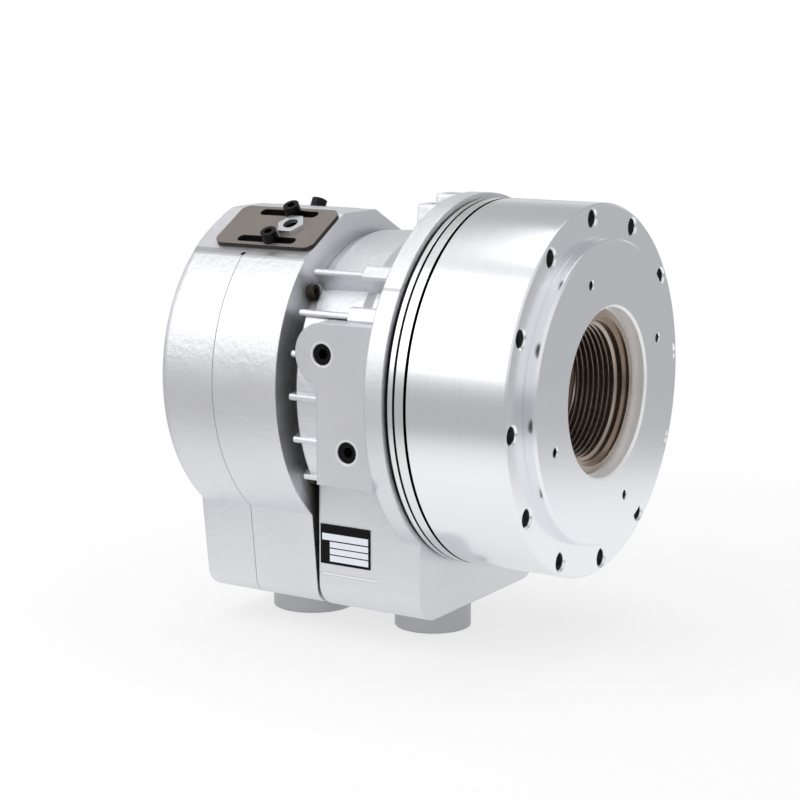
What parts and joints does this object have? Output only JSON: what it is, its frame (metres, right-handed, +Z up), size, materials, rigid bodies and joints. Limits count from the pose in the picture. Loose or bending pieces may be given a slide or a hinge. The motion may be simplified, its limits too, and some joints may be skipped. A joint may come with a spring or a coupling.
{
  "type": "hydraulic rotary cylinder",
  "caption": "Rotary hydraulic cylinder with a through bore: a spinning drum with a bolt flange, a sliding threaded piston, an oil distributor on bearings and a coolant collector.",
  "frame": {"origin": "on the rotation axis, in the plane of the flange's mounting face", "axes": "+X along the rotation axis towards the spigot and the piston rod's mouth, +Z up, away from the drains, -Y the side with the plugs and the rating plate"},
  "size_m": [0.2159, 0.1946, 0.2333],
  "materials": {
    "turned_alloy": "satin turned",
    "turned_steel": "fine turned",
    "rod_steel": "ground, lightly oiled",
    "bearing_steel": "polished",
    "casting": "fine shot-blasted casting",
    "black_screw": "black oxide",
    "plated_insert": "bright zinc",
    "plate_sheet": "dull brown-grey",
    "seal_rubber": "matte",
    "label_plate": "bare sheet with a dark printed border"
  },
  "bodies": {
    "housing": {"distributor_housing": "casting", "front_bearing_outer_ring": "bearing_steel", "rear_bearing_outer_ring": "bearing_steel", "bearing_snap_ring": "black_screw", "port_plugs": "black_screw", "rating_plate": "label_plate", "collector_front_half": "casting", "collector_rear_half": "casting", "collector_joining_screws": "black_screw", "collector_mounting_screws": "black_screw", "collector_drain_socket": "casting", "near_plate_screws": "black_screw", "far_plate_screws": "black_screw"},
    "rotor": {"cylinder_body": "turned_alloy", "rear_cover": "turned_steel", "cover_screws": "black_screw", "guide_pins": "turned_steel", "check_valve_cartridges": "turned_steel", "rod_seal": "seal_rubber", "tube_seal": "seal_rubber", "oil_slinger": "turned_steel", "front_bearing_inner_ring": "bearing_steel", "rear_bearing_inner_ring": "bearing_steel", "bearing_lock_nut": "turned_steel", "coolant_slinger": "turned_steel"},
    "piston_unit": {"piston": "rod_steel", "piston_seal": "seal_rubber", "stroke_ring": "turned_steel", "stroke_ring_set_screws": "black_screw"},
    "front_cage": {"front_bearing_ball_cage": "bearing_steel"},
    "rear_cage": {"rear_bearing_ball_cage": "bearing_steel"},
    "near_plate": {"near_sensor_plate": "plate_sheet", "near_sensor_nut": "plated_insert"},
    "far_plate": {"far_sensor_plate": "plate_sheet", "far_sensor_nut": "plated_insert"}
  },
  "joints": [
    {"name": "rotor_spin", "type": "hinge", "parent": "housing", "child": "rotor", "pos_m": [0, 0, 0], "axis": [1, 0, 0], "continuous": true},
    {"name": "piston_slide", "type": "slide", "parent": "rotor", "child": "piston_unit", "axis": [1, 0, 0], "range_m": [0, 0.022]},
    {"name": "front_cage_spin", "type": "hinge", "parent": "housing", "child": "front_cage", "pos_m": [0, 0, 0], "axis": [1, 0, 0], "continuous": true},
    {"name": "rear_cage_spin", "type": "hinge", "parent": "housing", "child": "rear_cage", "pos_m": [0, 0, 0], "axis": [1, 0, 0], "continuous": true},
    {"name": "near_plate_slide", "type": "slide", "parent": "housing", "child": "near_plate", "axis": [1, 0, 0], "range_m": [-0.009, 0.009]},
    {"name": "far_plate_slide", "type": "slide", "parent": "housing", "child": "far_plate", "axis": [1, 0, 0], "range_m": [-0.004, 0.008]}
  ],
  "couplings": [
    {"joint": "front_cage_spin", "follows": "rotor_spin", "ratio": 0.4556},
    {"joint": "rear_cage_spin", "follows": "rotor_spin", "ratio": 0.4556}
  ]
}
